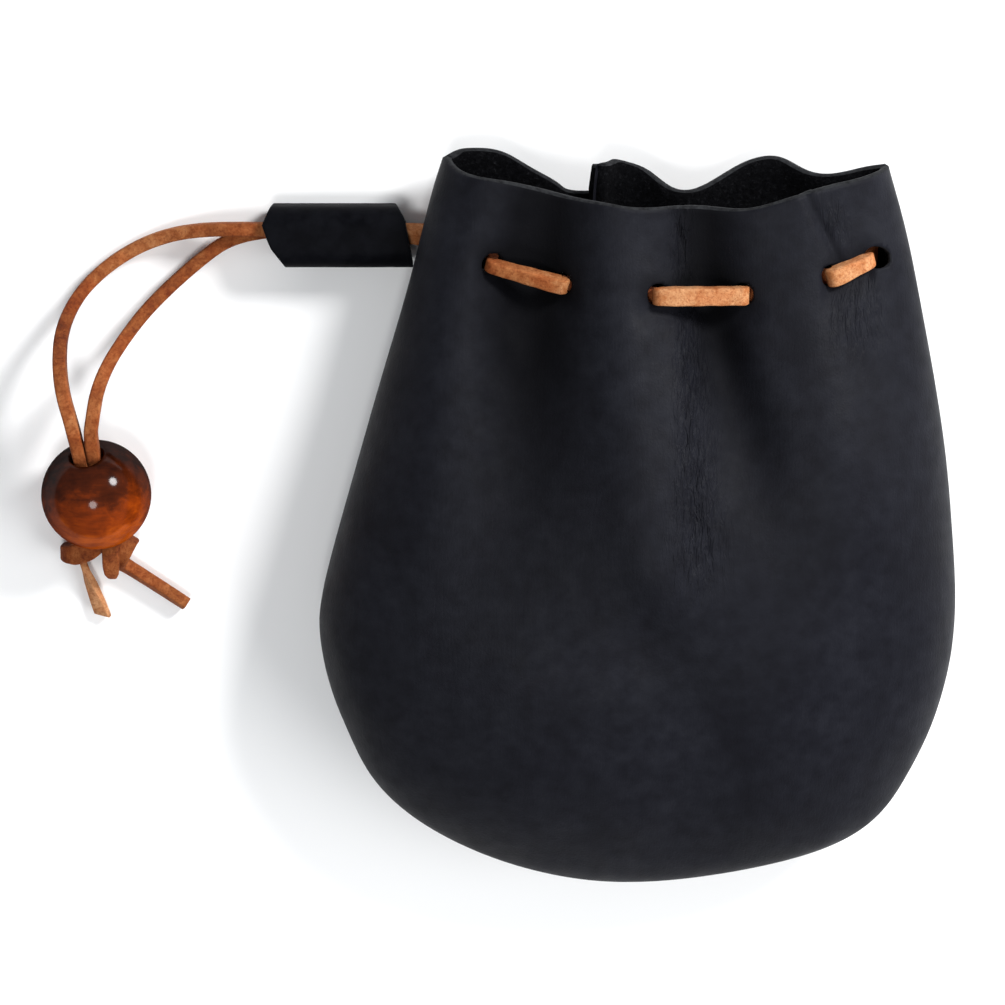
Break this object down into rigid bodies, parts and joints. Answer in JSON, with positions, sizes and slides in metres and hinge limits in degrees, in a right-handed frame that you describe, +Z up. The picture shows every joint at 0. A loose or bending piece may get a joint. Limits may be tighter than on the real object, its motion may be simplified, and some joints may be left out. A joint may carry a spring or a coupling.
{
  "type": "drawstring dice bag",
  "caption": "Small gathered leather pouch with a flat lace woven round its mouth, a leather slide and a round wooden bead on the lace.",
  "frame": {"origin": "on the floor under the middle of the bag's own box, without the strands, the slide, the bead and the knots", "axes": "+Y from the closed end to the mouth, +Z up through the front panel as the bag lies on its back, +X to the right"},
  "size_m": [0.1493, 0.1214, 0.0345],
  "materials": {
    "bag_leather": "soft blue-black matt leather, rough on the inside",
    "slider_leather": "smooth black leather",
    "lace": "mottled tan leather lace",
    "thread": "waxed black thread",
    "bead_wood": "dark red-brown lacquered wood, glossy"
  },
  "bodies": {
    "bag": {"front_panel": "bag_leather", "back_panel": "bag_leather", "seam_thread": "thread", "lace_woven": "lace", "strand_a": "lace", "strand_b": "lace", "knot_a": "lace", "knot_b": "lace"},
    "slider": {"slider": "slider_leather"},
    "bead": {"bead": "bead_wood"}
  },
  "joints": [
    {"name": "slider_slide", "type": "slide", "parent": "bag", "child": "slider", "axis": [-1, 0, 0], "range_m": [0, 0.005]},
    {"name": "bead_spin", "type": "hinge", "parent": "bag", "child": "bead", "pos_m": [-0.0885, 0.0038, 0.009], "axis": [-0.1388, 0.8761, 0.4617], "continuous": true}
  ]
}
